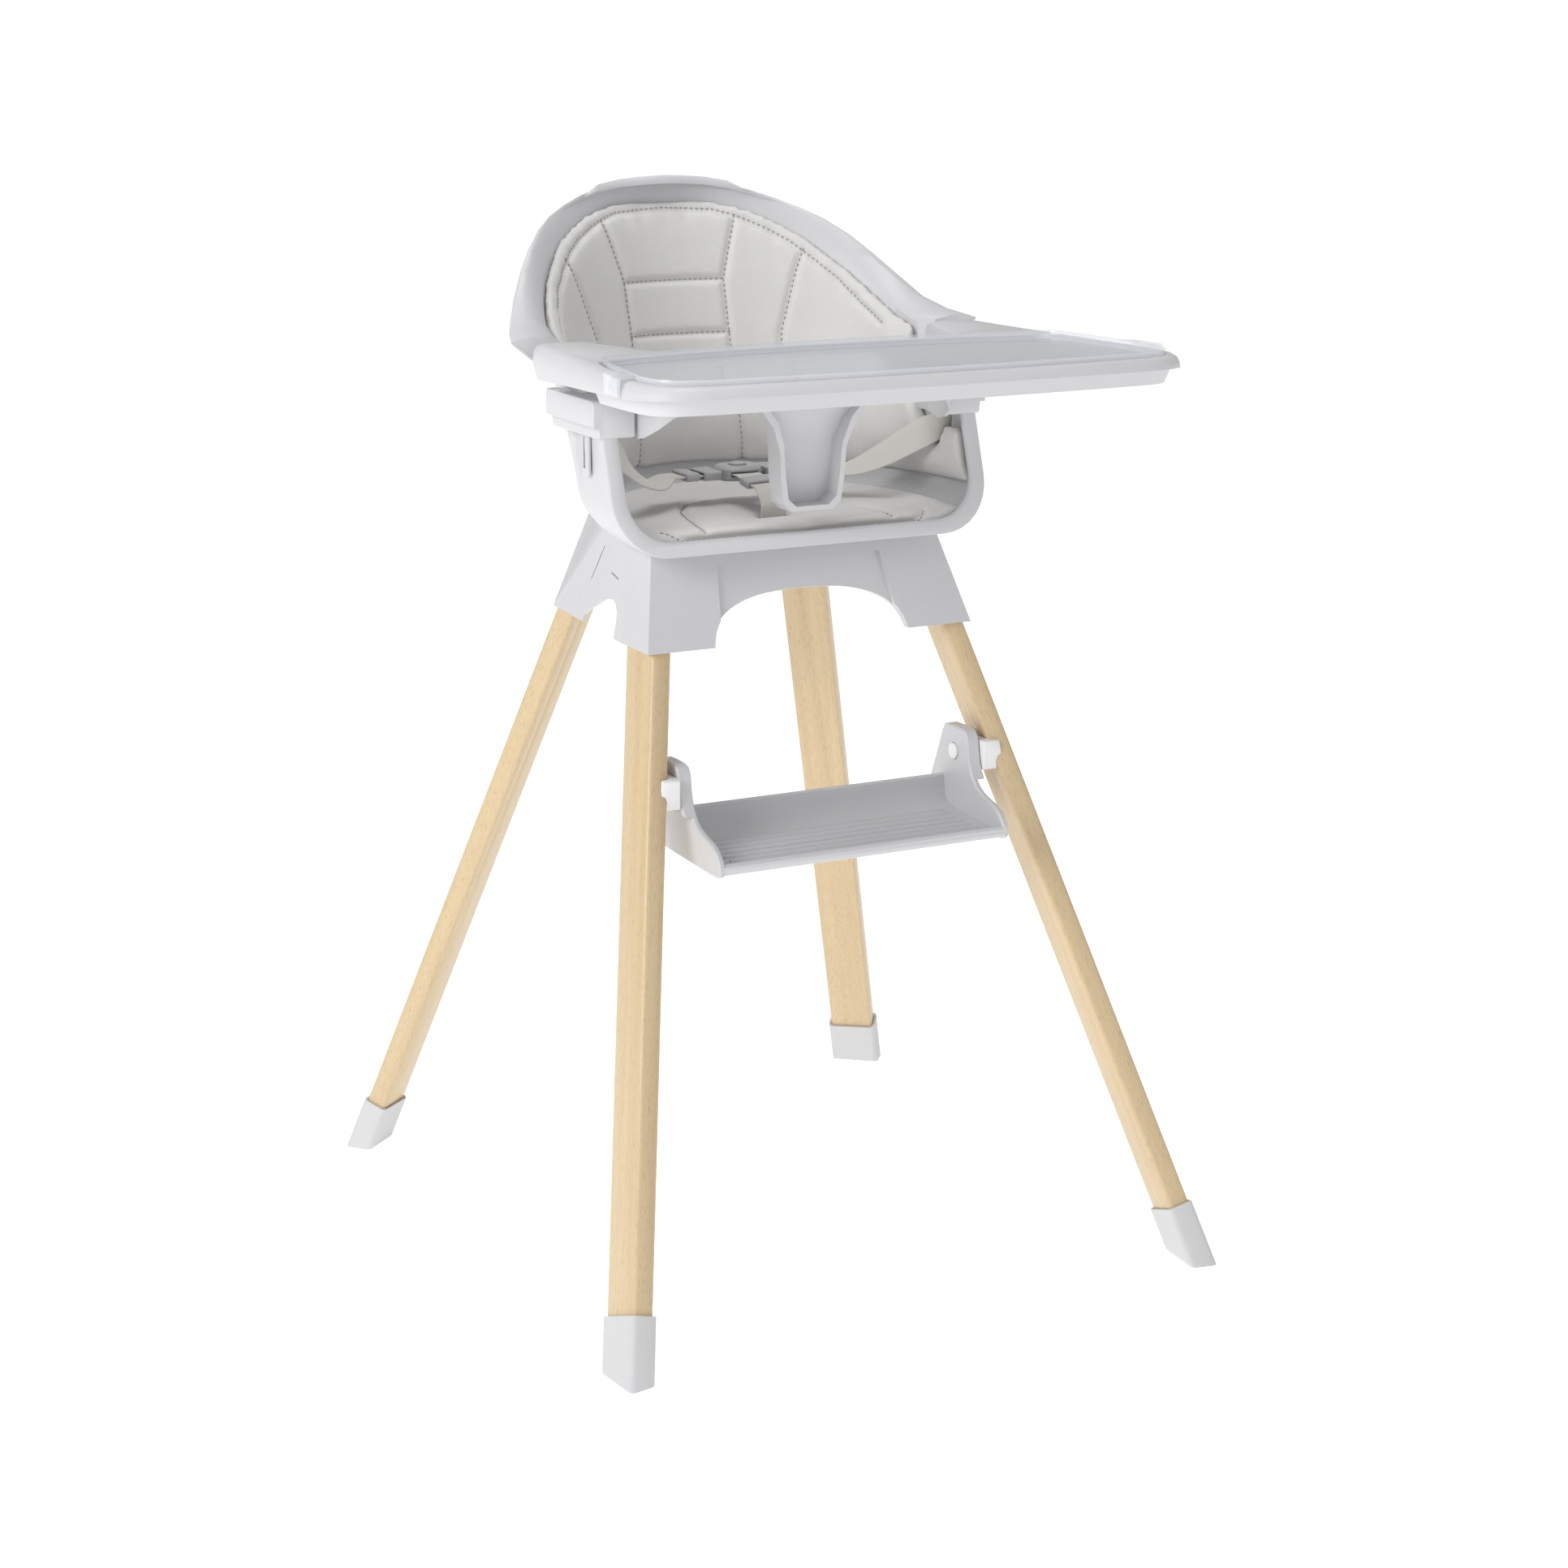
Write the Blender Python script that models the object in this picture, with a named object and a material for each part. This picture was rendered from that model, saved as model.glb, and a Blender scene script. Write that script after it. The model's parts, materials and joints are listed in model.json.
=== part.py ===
"""Baby high chair: a moulded seat shell on four splayed beech legs, with a clip-on tray.

Metres, +Z up. The chair faces -Y, the floor is z = 0 and x = 0 is the plane of symmetry.
The origin is on the floor, midway between the four feet.
"""
import bpy
import bmesh
from math import cos, pi, radians, sin, sqrt
from mathutils import Matrix, Vector

# Driving dimensions -------------------------------------------------------------------
GAP = 0.0004                      # running clearance between pieces that touch

LEG_WIDE, LEG_THIN = 0.0420, 0.0190
LEG_ARRIS = 0.003
LEG_START, LEG_END = 0.0150, 0.6650           # distances along the leg's own axis
FRONT_FOOT, FRONT_SLOPE, FRONT_WIDE = (0.2755, -0.2965), (-0.2406, 0.4225), (0.09, 0.996)
REAR_FOOT, REAR_SLOPE, REAR_WIDE = (0.2698, 0.3001), (-0.2816, -0.2936), (-0.775, 0.632)
CAP_WALL, CAP_TOP = 0.0026, 0.0500

HUB_BOTTOM, HUB_DECK, HUB_CUT = 0.547, 0.6180, 0.668
HUB_WALL = 0.0035
FRONT_RECESS = 0.0040             # depth of the panel between the front sockets
SEAT_SCREWS = ((0.06, -0.035), (-0.06, -0.035), (0.05, 0.055), (-0.05, 0.055))
LEG_SCREW_AT = 0.6180             # distance along each leg of the screw that holds it

SHELL_WALL = 0.0035
FLOOR_TOP = 0.6300                # inner face of the seat pan
PAN_HALF, PAN_FRONT, PAN_DEPTH = 0.1765, -0.055, 0.2165   # plan ellipse of the lower bowl
CORNER = 0.044                    # radius between the pan and its walls
CORNER_STEPS = 6
BOWL_CENTRE_Y, BOWL_RADIUS = 0.04, 0.1755
FRONT_RAKE = 0.325                # the front edge leans forward towards the bottom
FRONT_Y, FRONT_Z = -0.0545, 0.724
ARM_TOP, ARM_BOTTOM = 0.757, 0.7244
ARM_IN, ARM_OUT, ARM_REAR = 0.1500, 0.1900, 0.040
WING_ANGLE = 69.0                 # where the high back ends on the plan ellipse, degrees

TRAY_CREST = 0.7990

FOOTREST_PIN = (-0.1057, 0.4351)  # y and z of the pins that carry the footrest
CHEEK_IN, CHEEK_OUT, CHEEK_THIN = 0.1345, 0.1470, 0.1402   # x of the footrest's end walls
BUTTON_RADIUS = 0.0072

WEB_WIDTH, WEB_THICK = 0.025, 0.0016
BUCKLE = (-0.004, 0.044, 0.6650)
STRAP_Y, STRAP_Z = -0.0210, 0.7095   # where a waist strap goes through the shell


# Helpers ------------------------------------------------------------------------------
def clear_scene():
    for item in list(bpy.data.objects):
        bpy.data.objects.remove(item, do_unlink=True)


def material(name, colour, roughness, metallic=0.0):
    made = bpy.data.materials.get(name)
    if made:
        return made
    made = bpy.data.materials.new(name)
    made.use_nodes = True
    shader = made.node_tree.nodes["Principled BSDF"]
    shader.inputs["Base Color"].default_value = (*colour, 1.0)
    shader.inputs["Roughness"].default_value = roughness
    shader.inputs["Metallic"].default_value = metallic
    return made


def plastic():
    return material("plastic_pale_grey", (0.72, 0.72, 0.74), 0.45)


def hardware_grey():
    return material("plastic_mid_grey", (0.42, 0.42, 0.43), 0.45)


def steel():
    return material("steel_zinc", (0.62, 0.62, 0.64), 0.35, 1.0)


def add_object(name, mesh, finish):
    made = bpy.data.objects.new(name, mesh)
    bpy.context.collection.objects.link(made)
    mesh.materials.clear()
    mesh.materials.append(finish)
    return made


def from_points(name, points, faces, finish):
    mesh = bpy.data.meshes.new(name)
    mesh.from_pydata([tuple(p) for p in points], [], faces)
    work = bmesh.new()
    work.from_mesh(mesh)
    bmesh.ops.remove_doubles(work, verts=work.verts, dist=1e-6)
    bmesh.ops.recalc_face_normals(work, faces=work.faces)
    work.to_mesh(mesh)
    work.free()
    return add_object(name, mesh, finish)


def hull(name, points, finish):
    work = bmesh.new()
    for point in points:
        work.verts.new(point)
    bmesh.ops.convex_hull(work, input=work.verts)
    loose = [v for v in work.verts if not v.link_faces]
    bmesh.ops.delete(work, geom=loose, context="VERTS")
    bmesh.ops.recalc_face_normals(work, faces=work.faces)
    mesh = bpy.data.meshes.new(name)
    work.to_mesh(mesh)
    work.free()
    return add_object(name, mesh, finish)


def in_triangles(item):
    """Split a twisted surface's quads, which aren't flat, into triangles."""
    work = bmesh.new()
    work.from_mesh(item.data)
    bmesh.ops.triangulate(work, faces=work.faces)
    work.to_mesh(item.data)
    work.free()
    return item


def settle(item):
    """Bake an object's modifiers into its mesh."""
    depsgraph = bpy.context.evaluated_depsgraph_get()
    baked = bpy.data.meshes.new_from_object(item.evaluated_get(depsgraph))
    item.modifiers.clear()
    item.data = baked
    return item


def combine(item, others, operation):
    for other in others:
        change = item.modifiers.new("shape", "BOOLEAN")
        change.operation = operation
        change.solver = "EXACT"
        change.object = other
        settle(item)
        bpy.data.objects.remove(other, do_unlink=True)
    return item


def join_to(item, *others):
    return combine(item, others, "UNION")


def cut_from(item, *others):
    return combine(item, others, "DIFFERENCE")


def box(name, low, high, finish, bevel=0.0, segments=2):
    corners = [(x, y, z) for x in (low[0], high[0]) for y in (low[1], high[1]) for z in (low[2], high[2])]
    made = hull(name, corners, finish)
    return round_edges(made, bevel, segments) if bevel else made


def round_edges(item, width, segments=2, angle=35):
    change = item.modifiers.new("round", "BEVEL")
    change.width = width
    change.segments = segments
    change.limit_method = "ANGLE"
    change.angle_limit = radians(angle)
    return settle(item)


def grid_faces(rows, columns, closed=False):
    faces = []
    for i in range(rows - 1):
        for j in range(columns - (0 if closed else 1)):
            k = (j + 1) % columns
            faces.append((i * columns + j, i * columns + k, (i + 1) * columns + k, (i + 1) * columns + j))
    return faces


def loft(name, rings, finish):
    """Closed rings of equal length, skinned and capped at both ends."""
    count = len(rings[0])
    points = [p for ring in rings for p in ring]
    faces = grid_faces(len(rings), count, closed=True)
    faces.append(tuple(range(count)))
    faces.append(tuple(range((len(rings) - 1) * count, len(rings) * count)))
    return from_points(name, points, faces, finish)


def rounded_rectangle(half_x, half_y, radius, steps=3):
    outline = []
    for quarter, (sx, sy) in enumerate(((1, 1), (-1, 1), (-1, -1), (1, -1))):
        for k in range(steps + 1):
            turn = (quarter + k / steps) * pi / 2
            outline.append((sx * (half_x - radius) + radius * cos(turn),
                            sy * (half_y - radius) + radius * sin(turn)))
    return outline


def circle(radius, steps):
    return [(radius * cos(2 * pi * k / steps), radius * sin(2 * pi * k / steps)) for k in range(steps)]


def bar(name, place, outline, start, end, finish):
    """An outline in place's X and Y, extruded along its Z."""
    rings = [[place @ Vector((x, y, z)) for x, y in outline] for z in (start, end)]
    return loft(name, rings, finish)


def axis_frame(origin, along, side):
    z = Vector(along).normalized()
    x = (Vector(side) - z * Vector(side).dot(z)).normalized()
    y = z.cross(x)
    frame = Matrix((x, y, z)).transposed().to_4x4()
    frame.translation = Vector(origin)
    return frame


def ease(value):
    value = min(max(value, 0.0), 1.0)
    return value * value * (3 - 2 * value)


def between(table, value):
    """Straight interpolation in a short table of (position, number, ...) rows."""
    if value <= table[0][0]:
        return table[0][1:]
    for (a, *low), (b, *high) in zip(table, table[1:]):
        if value <= b:
            part = (value - a) / (b - a)
            return tuple(p + (q - p) * part for p, q in zip(low, high))
    return table[-1][1:]


def smooth_curve(points, steps):
    """Catmull-Rom curve through a few points, steps pieces to each span."""
    ends = [points[0]] + list(points) + [points[-1]]
    curve = []
    for p0, p1, p2, p3 in zip(ends, ends[1:], ends[2:], ends[3:]):
        for k in range(steps):
            t = k / steps
            curve.append(tuple(0.5 * (2 * b + (c - a) * t + (2 * a - 5 * b + 4 * c - d) * t * t
                                      + (3 * b - a - 3 * c + d) * t ** 3)
                               for a, b, c, d in zip(p0, p1, p2, p3)))
    curve.append(tuple(points[-1]))
    return curve


def along_table(table, position):
    """Smooth curve through a table's rows, read at a position in its first column."""
    curve = smooth_curve(table, 8)
    return between(curve, position)


# Legs and feet ------------------------------------------------------------------------
def leg_frames():
    frames = {}
    for side, hand in ((-1, "left"), (1, "right")):
        for place, foot, slope, wide in (("front", FRONT_FOOT, FRONT_SLOPE, FRONT_WIDE),
                                         ("rear", REAR_FOOT, REAR_SLOPE, REAR_WIDE)):
            frames[f"{place}_{hand}"] = axis_frame((side * foot[0], foot[1], 0),
                                                   (side * slope[0], slope[1], 1), (side * wide[0], wide[1], 0))
    return frames


def leg_outline(grow=0.0, radius=LEG_ARRIS, steps=2):
    return rounded_rectangle(LEG_WIDE / 2 + grow, LEG_THIN / 2 + grow, radius + grow, steps)


def leg_screw_frame(frame):
    """Where the leg's screw enters, on the face towards the middle, pointing into the wood."""
    thin = frame.col[1].to_3d()
    centre = frame @ Vector((0, 0, LEG_SCREW_AT))
    inward = -1 if thin.dot(Vector((centre.x, centre.y, 0))) > 0 else 1
    start = centre + thin * inward * (LEG_THIN / 2 + 0.0036)
    return axis_frame(start, thin * -inward, frame.col[2].to_3d())


def leg_screw_bores(frames):
    bores = []
    for frame in frames.values():
        place = leg_screw_frame(frame)
        bores.append(bar("bore", place, circle(0.0025, 10), -0.004, 0.008, plastic()))
        bores.append(bar("head_room", place, circle(0.0052, 12), -0.0120, 0.0008, plastic()))
    return bores


def make_leg(key, frame):
    beech = material("beech", (0.72, 0.52, 0.32), 0.55)
    leg = bar("leg_" + key, frame, leg_outline(), LEG_START, LEG_END, beech)
    return cut_from(leg, bar("bore", leg_screw_frame(frame), circle(0.0025, 10), -0.02, 0.0175, beech))


def make_foot_cap(key, frame):
    outline = rounded_rectangle(LEG_WIDE / 2 + CAP_WALL, LEG_THIN / 2 + CAP_WALL, 0.0045, 3)
    cap = bar("foot_cap_" + key, frame, outline, -0.030, CAP_TOP, material("rubbery_grey", (0.66, 0.66, 0.66), 0.6))
    pocket = bar("pocket", frame, leg_outline(GAP), LEG_START - GAP, CAP_TOP + 0.02, plastic())
    below = box("below", (-1, -1, -0.2), (1, 1, 0.0), plastic())
    return cut_from(cap, below, pocket)


# Seat shell ---------------------------------------------------------------------------
# Rim of the high back: angle about the bowl's centre line, radius and height.
RIM = ((0, 0.1650, 0.9150), (20, 0.1760, 0.9100), (42, 0.1860, 0.8890), (57, 0.1920, 0.8660),
       (71, 0.2020, 0.8330), (82, 0.2130, 0.8080), (94, 0.2290, 0.7990))
# Height of the inner edge of the rim, where the cushion's edge lies.
EDGE = ((0, 0.9030), (22, 0.8985), (42, 0.8760), (57, 0.8480), (71, 0.8230), (82, 0.8075), (94, 0.8000))


def pan_point(angle):
    return PAN_HALF * sin(radians(angle)), PAN_FRONT + PAN_DEPTH * cos(radians(angle))


def rake(y, z, share):
    return y + FRONT_RAKE * (z - FRONT_Z) * share


def shell_column(angle, grow=0.0):
    """Inner face of the shell from the middle of the pan up to the rim, on one side."""
    px, py = pan_point(angle)
    share = ease((angle - 50) / 40)
    centre_y = 0.02 if py > 0.02 else py
    out = Vector((px, py - centre_y))
    reach = out.length
    points = []
    for part in (0.0, 0.33, 0.66, 1.0):
        flat = Vector((0, centre_y)) + out * (part * (reach - CORNER) / reach)
        points.append((flat.x, rake(flat.y, FLOOR_TOP, share), FLOOR_TOP))
    for k in range(1, CORNER_STEPS + 1):
        turn = k * pi / (2 * CORNER_STEPS)
        flat = Vector((0, centre_y)) + out * ((reach - CORNER + CORNER * sin(turn)) / reach)
        z = FLOOR_TOP + CORNER * (1 - cos(turn))
        points.append((flat.x, rake(flat.y, z, share), z))
    if angle > WING_ANGLE:
        for z in (0.700, 0.728, 0.742, 0.750, ARM_TOP - 0.004):
            points.append((px, rake(py, z, share), z))
        last = points[-1]
        return points + [last] * 8
    turn = angle * 94 / WING_ANGLE
    edge_z = along_table(EDGE, turn)[0]
    radius, rim_z = along_table(RIM, turn)
    head = Vector((sin(radians(turn)), cos(radians(turn))))
    centre = Vector((0, BOWL_CENTRE_Y))
    bowl = centre + head * BOWL_RADIUS
    start = Vector((px, py))
    base_z = FLOOR_TOP + CORNER
    top_z = edge_z - 0.006
    for k in range(1, 9):
        part = k / 8
        flat = start.lerp(bowl, ease(part) * 0.35 + part * 0.65)
        z = base_z + (top_z - base_z) * part
        points.append((flat.x, rake(flat.y, z, share), z))
    rim = centre + head * (radius - 0.003)
    width = (rim - bowl).length
    for part, lift in ((0.22, 0.30), (0.62, 0.85), (0.9, 1.02), (1.0, 0.93), (1.04, 0.78)):
        flat = bowl.lerp(rim, part)
        z = top_z + (rim_z - top_z) * lift + 0.004 * sin(pi * min(part, 1.0)) * min(width / 0.03, 1.0)
        points.append((flat.x, flat.y, z))
    return points


def shell_angles():
    back = [k * WING_ANGLE / 13 for k in range(14)]
    front = [70.6, 74, 78, 82, 86, 90]
    return back + front


def walled(name, columns, walls, finish, lift=0.0):
    """A closed wall off a gridded surface, walls giving each row's thickness away from the sitter.

    A negative wall grows towards the sitter, from a first face that stands off by lift."""
    spots, index, depth = {}, [], []
    for column in columns:
        for point, wall in zip(column, walls):
            key = tuple(round(c, 6) for c in point)
            if key not in spots:
                spots[key] = len(spots)
                depth.append(wall)
            index.append(spots[key])
    faces = []
    for face in grid_faces(len(columns), len(columns[0])):
        corners = list(dict.fromkeys(index[k] for k in face))
        if len(corners) > 2:
            faces.append(corners)
    work = bmesh.new()
    inner = [work.verts.new(key) for key in spots]
    skin = [work.faces.new([inner[k] for k in face]) for face in faces]
    bmesh.ops.recalc_face_normals(work, faces=skin)
    work.normal_update()
    middle = min(skin, key=lambda f: (f.calc_center_median() - Vector((0, 0.02, FLOOR_TOP))).length)
    sign = -1 if middle.normal.z > 0 else 1
    away = [v.normal * sign for v in inner]
    outer = [work.verts.new(v.co + n * wall) for v, n, wall in zip(inner, away, depth)]
    for v, n in zip(inner, away):
        v.co -= n * lift
    twin = dict(zip(inner, outer))
    edges = [edge for edge in work.edges if len(edge.link_faces) == 1]
    for face in skin:
        work.faces.new([twin[v] for v in reversed(face.verts)])
    for edge in edges:
        a, b = edge.verts
        work.faces.new((a, b, twin[b], twin[a]))
    bmesh.ops.recalc_face_normals(work, faces=work.faces)
    mesh = bpy.data.meshes.new(name)
    work.to_mesh(mesh)
    work.free()
    return add_object(name, mesh, finish)


def make_shell_skin():
    half = [shell_column(angle) for angle in shell_angles()]
    columns = [[(-x, y, z) for x, y, z in column] for column in reversed(half)] + half[1:]
    count = len(half[0])
    walls = [SHELL_WALL] * (count - 4) + [0.0034, 0.0030, 0.0022, 0.0016]
    return walled("seat_shell", columns, walls, plastic())


def flange_outline(inset):
    """Front edge of the seat in X and Z, right arm to left arm, inset towards the opening."""
    half = PAN_HALF + SHELL_WALL + 0.0006 - inset
    bottom = FLOOR_TOP - SHELL_WALL - 0.0006 + inset * 0.85
    radius = max(CORNER + SHELL_WALL - inset * 0.6, 0.02)
    side = [(half, ARM_BOTTOM + 0.010)]
    for k in range(9):
        turn = k * pi / 16
        side.append((half - radius + radius * cos(turn), bottom + radius - radius * sin(turn)))
    return side + [(-x, z) for x, z in reversed(side)]


def make_flange():
    outer, inner = flange_outline(0.0), flange_outline(0.0145)
    rings = []
    for (ox, oz), (ix, iz) in zip(outer, inner):
        front_o, front_i = rake(FRONT_Y, oz, 1.0) - 0.0012, rake(FRONT_Y, iz, 1.0) - 0.0012
        rings.append([(ox, front_o, oz), (ix, front_i, iz), (ix, front_i + 0.006, iz), (ox, front_o + 0.006, oz)])
    return round_edges(loft("flange", rings, plastic()), 0.0022, 2, 50)


def make_arm_rail(side):
    low = (min(side * 0.1785, side * ARM_OUT), -0.0562, ARM_BOTTOM)
    high = (max(side * 0.1785, side * ARM_OUT), ARM_REAR, ARM_TOP)
    rail = box("rail", low, high, plastic(), 0.003, 2)
    inner_low = (min(side * ARM_IN, side * 0.183), -0.0562, ARM_BOTTOM)
    inner_high = (max(side * ARM_IN, side * 0.183), 0.0, ARM_TOP)
    join_to(rail, box("pad", inner_low, inner_high, plastic(), 0.003, 2))
    taper = hull("taper", [(side * x, y, z) for x, y, z in (
        (0.1815, -0.07, 0.70), (0.21, -0.07, 0.70), (0.1815, 0.06, 0.70), (0.21, 0.06, 0.70),
        (0.1840, -0.07, 0.7350), (0.21, -0.07, 0.7350), (0.1840, 0.06, 0.7350), (0.21, 0.06, 0.7350))], plastic())
    return cut_from(rail, taper)


def strap_slot(side):
    return box("slot", (side * 0.175 - 0.03, STRAP_Y - 0.0035, STRAP_Z - 0.0140),
               (side * 0.175 + 0.03, STRAP_Y + 0.0035, STRAP_Z + 0.0141), plastic())


def make_seat_shell():
    shell = make_shell_skin()
    join_to(shell, make_flange(), make_arm_rail(-1), make_arm_rail(1))
    crotch_slot = box("slot", (-0.0140, -0.0195, 0.60), (0.0140, -0.0145, 0.66), plastic())
    pegs = [bar("peg", Matrix.Translation((x, y, 0)), circle(0.0065, 12), 0.6195, FLOOR_TOP - 0.001, plastic())
            for x, y in SEAT_SCREWS]
    cut_from(shell, strap_slot(-1), strap_slot(1), crotch_slot)
    join_to(shell, *pegs)
    bores = [bar("bore", Matrix.Translation((x, y, 0)), circle(0.0025, 10), 0.60, 0.6272, plastic())
             for x, y in SEAT_SCREWS]
    return cut_from(shell, *bores)


# Leg hub ------------------------------------------------------------------------------
SLIT_WIDTH = 0.0016
# One half of each arch, foot to crown, as x and z.
FRONT_ARCH = ((0.0950, 0.5000), (0.0945, 0.5450), (0.0935, 0.5600), (0.0880, 0.5750), (0.0780, 0.5865),
              (0.0600, 0.5960), (0.0350, 0.6020), (0.0000, 0.6040))
REAR_ARCH = ((0.0810, 0.5000), (0.0800, 0.5600), (0.0740, 0.5760), (0.0560, 0.5900), (0.0300, 0.5975),
             (0.0000, 0.6000))


def hub_corners(z, inset):
    """Plan of the skirt at a height, drawn round the four legs."""
    corners = []
    for side in (-1, 1):
        front_x = FRONT_FOOT[0] + FRONT_SLOPE[0] * z
        front_y = FRONT_FOOT[1] + FRONT_SLOPE[1] * z
        rear_x = REAR_FOOT[0] + REAR_SLOPE[0] * z
        rear_y = REAR_FOOT[1] + REAR_SLOPE[1] * z
        for dx, dy in ((0.0135, -0.0270), (0.0135, 0.0250), (-0.060, -0.0270)):
            corners.append((side * (front_x + dx - inset), front_y + dy + (inset if dy < 0 else -inset), z))
        for dx, dy in ((0.0275, -0.0060), (0.0170, 0.0130), (-0.0110, 0.0265)):
            corners.append((side * (rear_x + dx - inset), rear_y + dy - inset, z))
    return corners


def hub_front(z):
    """A slice of the front wall where it is made thicker, behind the recessed panel."""
    face = FRONT_FOOT[1] + FRONT_SLOPE[1] * z - 0.0270
    return [(x, face + step, z) for x in (-0.105, 0.105) for step in (0.0005, HUB_WALL + FRONT_RECESS)]


def make_socket(frame):
    outline = rounded_rectangle(LEG_WIDE / 2 + 0.0032, LEG_THIN / 2 + 0.0032, 0.003, 2)
    return bar("socket", frame, outline, 0.57, 0.69, plastic())


def shell_underside():
    """The outer shape of the lower bowl, which the hub is hollowed to receive."""
    points = []
    for angle in range(0, 91, 6):
        px, py = pan_point(angle)
        share = ease((angle - 50) / 40)
        centre_y = 0.02 if py > 0.02 else py
        out = Vector((px, py - centre_y))
        reach, grow = out.length, SHELL_WALL + 0.0006 + 2 * GAP
        for k in range(7):
            turn = k * pi / 12
            radius = CORNER + grow
            flat = Vector((0, centre_y)) + out * ((reach - CORNER + radius * sin(turn)) / reach)
            z = FLOOR_TOP - grow + radius * (1 - cos(turn))
            y = rake(flat.y, z, share) - (0.004 if angle > 80 else 0)
            points += [(flat.x, y, z), (-flat.x, y, z)]
        points += [(px + grow, py + 0.02, 0.72), (-px - grow, py + 0.02, 0.72)]
    return hull("underside", points, plastic())


def arch_cutter(half, start, end, drop):
    """An arched opening cut through a wall, half giving its edge from the foot to the crown."""
    edge = smooth_curve(half, 3)
    outline = edge + [(-x, z) for x, z in reversed(edge[:-1])]
    rings = [[(x, y, z - fall) for x, z in outline] for y, fall in ((start, 0), (end, drop))]
    return loft("arch", rings, plastic())


def side_arch(side):
    outline = smooth_curve(((-0.019, 0.53), (-0.019, 0.562), (-0.014, 0.572), (-0.004, 0.577), (0.012, 0.575),
                            (0.032, 0.566), (0.056, 0.553), (0.062, 0.53)), 2)
    rings = [[(side * x, y, z) for y, z in outline] for x in (0.118, 0.2)]
    return loft("side_arch", rings, plastic())


def front_panel():
    """The shallow recess across the front wall between the two socket panels."""
    points = []
    for z, half in ((0.530, 0.0905), (0.6120, 0.0800)):
        face = FRONT_FOOT[1] + FRONT_SLOPE[1] * z - 0.0270
        for x in (-half, half):
            points += [(x, face - 0.02, z), (x * 0.985, face + FRONT_RECESS, z)]
    return hull("panel", points, plastic())


def side_slit(side, start, end):
    """A narrow slot through the side wall between two points given as y and z."""
    ahead = Vector((0, end[0] - start[0], end[1] - start[1])).normalized()
    across = ahead.cross(Vector((1, 0, 0))) * SLIT_WIDTH / 2
    points = []
    for y, z in (start, end):
        for sign in (-1, 1):
            for x in (0.1, 0.2):
                points.append((side * x, y + sign * across.y, z + sign * across.z))
    return hull("slit", points, plastic())


def make_leg_hub(frames):
    outer = hull("leg_hub", hub_corners(HUB_BOTTOM, 0) + hub_corners(HUB_CUT, 0), plastic())
    cavity = hub_corners(HUB_BOTTOM - 0.02, HUB_WALL) + hub_corners(HUB_DECK - 0.004, HUB_WALL)
    cut_from(outer, hull("cavity", cavity, plastic()))
    thick = hull("front_wall", hub_front(HUB_BOTTOM) + hub_front(HUB_DECK), plastic())
    join_to(outer, thick)
    keep = hull("keep", hub_corners(HUB_BOTTOM, 0.0008) + hub_corners(HUB_CUT - 0.001, 0.0008), plastic())
    for frame in frames.values():
        socket = make_socket(frame)
        change = socket.modifiers.new("trim", "BOOLEAN")
        change.operation, change.solver, change.object = "INTERSECT", "EXACT", keep
        settle(socket)
        join_to(outer, socket)
    bpy.data.objects.remove(keep, do_unlink=True)
    cut_from(outer, front_panel(), arch_cutter(FRONT_ARCH, -0.12, -0.03, 0.030))
    cut_from(outer, arch_cutter(REAR_ARCH, 0.10, 0.20, 0.0), side_arch(-1), side_arch(1), shell_underside())
    for side in (-1, 1):
        cut_from(outer, side_slit(side, (0.0368, 0.6164), (0.0542, 0.5847)),
                 side_slit(side, (0.0105, 0.5981), (-0.0075, 0.5956)))
    for frame in frames.values():
        pocket = bar("pocket", frame, leg_outline(GAP), 0.50, LEG_END + GAP, plastic())
        cut_from(outer, pocket)
    holes = [bar("hole", Matrix.Translation((x, y, 0)), circle(0.0072, 12), 0.61, 0.64, plastic())
             for x, y in SEAT_SCREWS]
    return cut_from(outer, *holes, *leg_screw_bores(frames))


# Cushions -----------------------------------------------------------------------------
PAN_ROWS = 4 + CORNER_STEPS


def cushion_column(angle):
    """The shell's inner face where a cushion lies on it, pan first."""
    column = shell_column(angle)
    lower = column[:PAN_ROWS]
    aside = 0.0030 * ease((angle - 48) / 16)
    if angle <= WING_ANGLE:
        return lower + [(x - aside, y, z) for x, y, z in column[PAN_ROWS:PAN_ROWS + 8]]
    px, py = pan_point(angle)
    px -= aside
    top = along_table(((69, 0.792), (70.6, 0.750), (74, 0.716), (78, 0.7120), (90, 0.7115)), angle)[0]
    base_z = FLOOR_TOP + CORNER
    upper = []
    for k in range(1, 9):
        z = base_z + (top - base_z) * k / 8
        upper.append((px, rake(py, z, ease((angle - 50) / 40)), z))
    return lower + upper


def cushion_angles():
    return [k * WING_ANGLE / 13 for k in range(14)] + [70.6, 74, 78, 82, 85, 87.3]


def both_sides(half):
    return [[(-x, y, z) for x, y, z in column] for column in reversed(half)] + half[1:]


def cushion_walls(count):
    walls = [-0.0120] * count
    walls[0], walls[1] = -0.0098, -0.0114
    walls[-1], walls[-2] = -0.0070, -0.0108
    return walls


def leatherette():
    return material("leatherette", (0.60, 0.58, 0.55), 0.6)


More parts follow.
